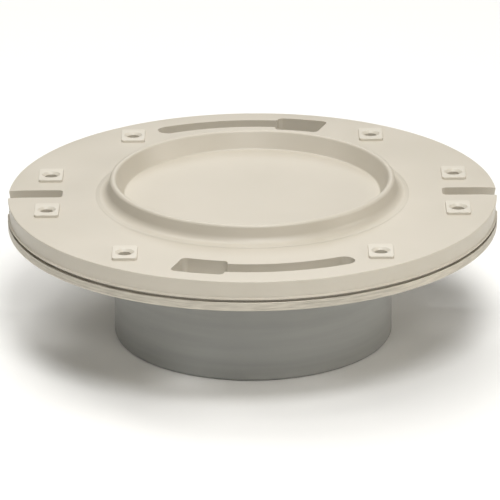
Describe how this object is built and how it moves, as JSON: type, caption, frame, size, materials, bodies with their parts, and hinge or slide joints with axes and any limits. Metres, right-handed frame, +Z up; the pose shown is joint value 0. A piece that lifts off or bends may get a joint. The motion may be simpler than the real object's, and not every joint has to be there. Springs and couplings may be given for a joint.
{
  "type": "toilet flange",
  "caption": "Adjustable closet flange: grey pipe spigot, swivelling slotted ring plate on a steel backing ring, and a lift-out raised-rim test cap.",
  "frame": {"origin": "on the pipe axis, at the spigot's lower end, which is the lowest point", "axes": "+Z up along the pipe axis, +X through one open side slot, -Y towards the front curved slot"},
  "size_m": [0.1778, 0.178, 0.0598],
  "materials": {
    "grey_pvc": "moulded, satin",
    "spring_steel": "satin",
    "beige_abs": "moulded, satin",
    "dark_rubber": "matte",
    "steel": "galvanised, satin",
    "cap_abs": "moulded, satin",
    "seal_rubber": "matte"
  },
  "bodies": {
    "hub": {"hub": "grey_pvc", "snap_ring": "spring_steel"},
    "ring": {"swivel_plate": "beige_abs", "gasket": "dark_rubber", "backing_ring": "steel"},
    "cap": {"test_cap": "cap_abs", "cap_o_ring": "seal_rubber"}
  },
  "joints": [
    {"name": "ring_swivel", "type": "hinge", "parent": "hub", "child": "ring", "pos_m": [0, 0, 0.0467], "axis": [0, 0, 1], "continuous": true},
    {"name": "cap_lift", "type": "slide", "parent": "hub", "child": "cap", "axis": [0, 0, 1], "range_m": [0, 0.05]}
  ]
}
